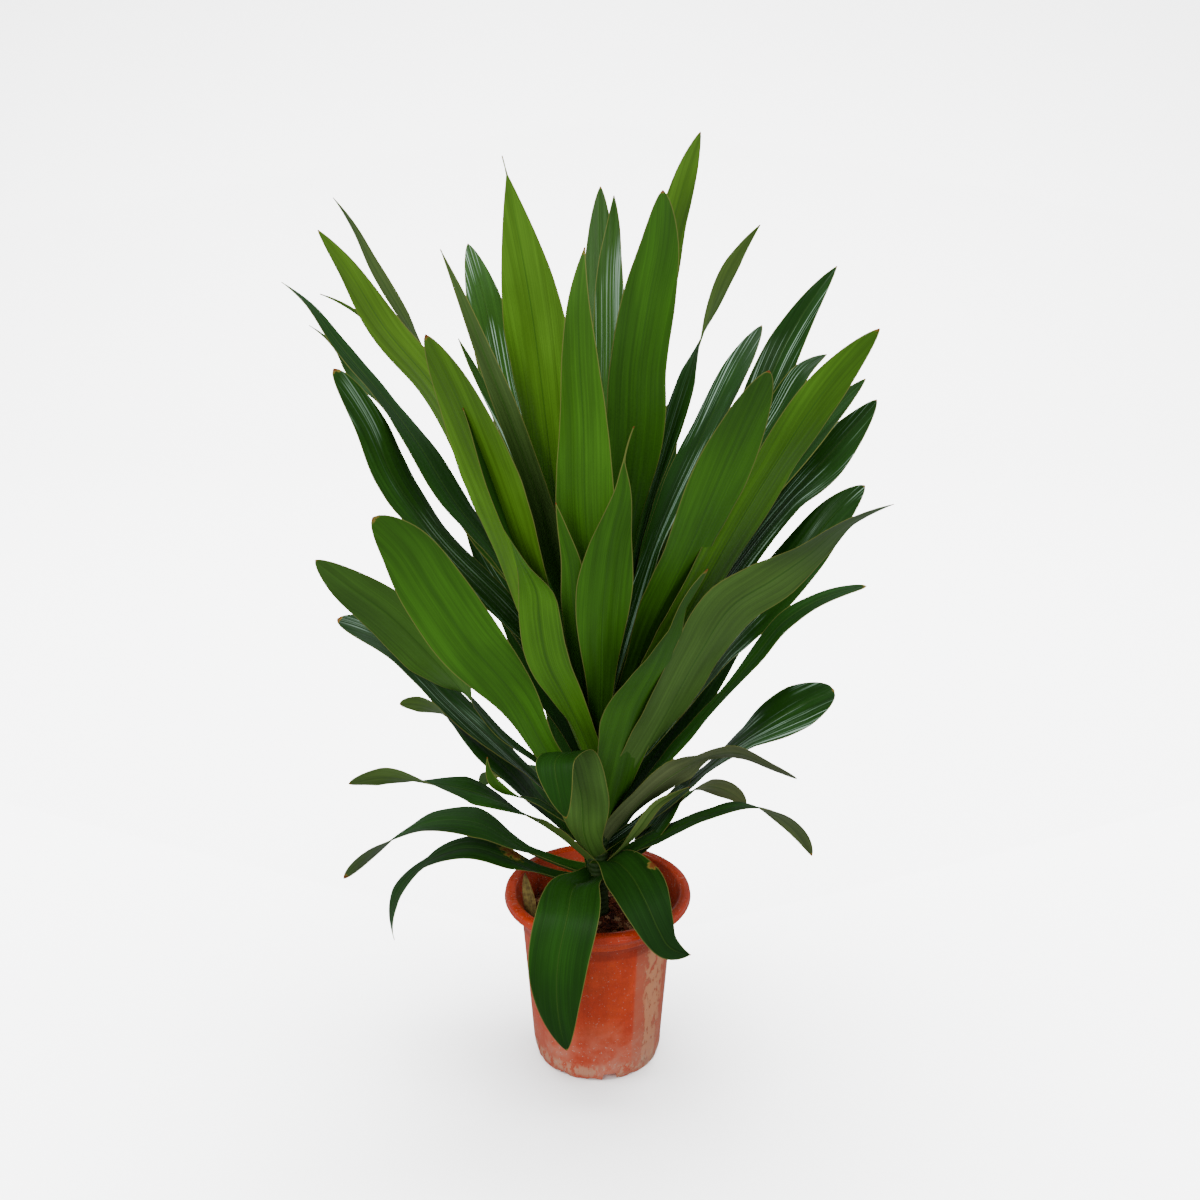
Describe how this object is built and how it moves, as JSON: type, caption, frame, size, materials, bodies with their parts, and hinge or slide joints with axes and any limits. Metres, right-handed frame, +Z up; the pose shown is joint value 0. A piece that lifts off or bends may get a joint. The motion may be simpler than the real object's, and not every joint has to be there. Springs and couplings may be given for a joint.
{
  "type": "potted dracaena",
  "caption": "Leafy dracaena with long arching blades on one short stem, rooted in a soil-filled faceted nursery pot with a rolled rim.",
  "frame": {"origin": "centre of the pot's underside, on the surface it stands on", "axes": "+Z up along the stem's axis; -Y towards the side seen in the reference view, +X to the right in it"},
  "size_m": [0.5792, 0.452, 0.9244],
  "materials": {
    "pot_plastic": "terracotta-coloured nursery plastic, satin, with limescale",
    "bark_soil": "reddish brown bark and coir, loose and matte",
    "green_leaf": "living leaf, waxy upper side, matte paler underside",
    "dry_leaf": "dried leaf, olive tan"
  },
  "bodies": {
    "root": {"pot": "pot_plastic", "soil": "bark_soil", "plant": "green_leaf", "dry_leaf": "dry_leaf"}
  },
  "joints": []
}
